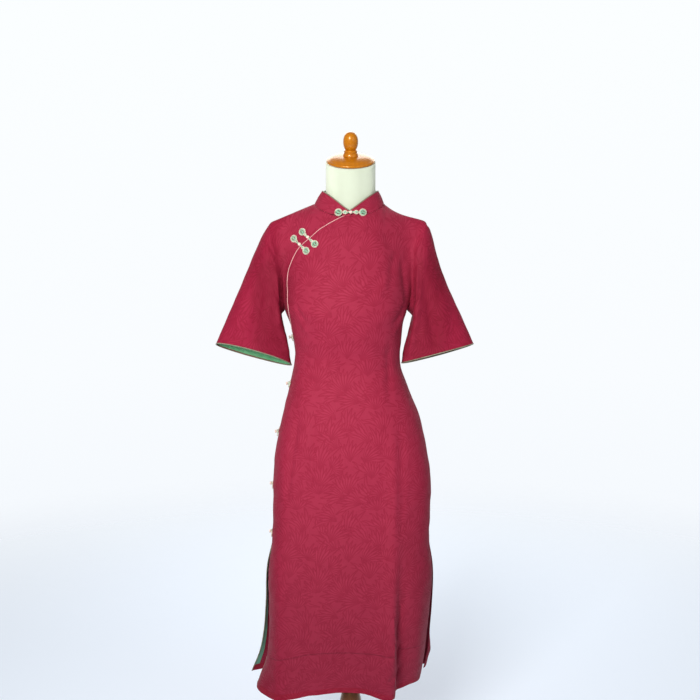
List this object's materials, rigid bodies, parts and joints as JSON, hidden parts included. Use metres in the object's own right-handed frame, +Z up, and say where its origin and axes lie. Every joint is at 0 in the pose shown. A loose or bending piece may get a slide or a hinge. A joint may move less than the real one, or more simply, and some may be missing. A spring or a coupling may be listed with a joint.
{
  "type": "cheongsam dress on dress form",
  "caption": "Short-sleeved calf-length cheongsam with a stand collar, slanting frogged opening and side slits, on a limbless dress form with a turned wooden stand.",
  "frame": {"origin": "middle of the stand's flat underside, on the pole's axis", "axes": "+Z up along the pole, the dress faces -Y, +X to the wearer's left"},
  "size_m": [0.6342, 0.32, 1.6186],
  "materials": {
    "dress_cloth": "matt jacquard with a faint sheen",
    "facing_cloth": "smooth green facing cloth",
    "piping": "satin bias piping",
    "frog_cord": "satin cord",
    "button": "pearly",
    "form_cover": "smooth stretch cover",
    "varnished_wood": "gloss varnish",
    "dark_wood": "dark varnish"
  },
  "bodies": {
    "root": {"front_panel": "dress_cloth", "chest_panel": "dress_cloth", "back_panel": "dress_cloth", "left_sleeve": "dress_cloth", "right_sleeve": "dress_cloth", "collar": "dress_cloth", "left_cuff_facing": "facing_cloth", "right_cuff_facing": "facing_cloth", "slit_facing": "facing_cloth", "opening_piping": "piping", "collar_piping": "piping", "left_cuff_piping": "piping", "right_cuff_piping": "piping", "slit_piping_front": "piping", "slit_piping_back": "piping", "collar_frog_a": "frog_cord", "collar_frog_b": "frog_cord", "collar_frog_button": "button", "chest_frog_upper_a": "frog_cord", "chest_frog_upper_b": "frog_cord", "chest_frog_upper_button": "button", "chest_frog_lower_a": "frog_cord", "chest_frog_lower_b": "frog_cord", "chest_frog_lower_button": "button", "side_frog_1_a": "frog_cord", "side_frog_1_b": "frog_cord", "side_frog_1_button": "button", "side_frog_2_a": "frog_cord", "side_frog_2_b": "frog_cord", "side_frog_2_button": "button", "side_frog_3_a": "frog_cord", "side_frog_3_b": "frog_cord", "side_frog_3_button": "button", "side_frog_4_a": "frog_cord", "side_frog_4_b": "frog_cord", "side_frog_4_button": "button", "side_frog_5_a": "frog_cord", "side_frog_5_b": "frog_cord", "side_frog_5_button": "button", "form_torso": "form_cover", "neck_cap": "varnished_wood", "finial": "varnished_wood", "pole": "dark_wood", "stand_foot": "dark_wood"}
  },
  "joints": []
}
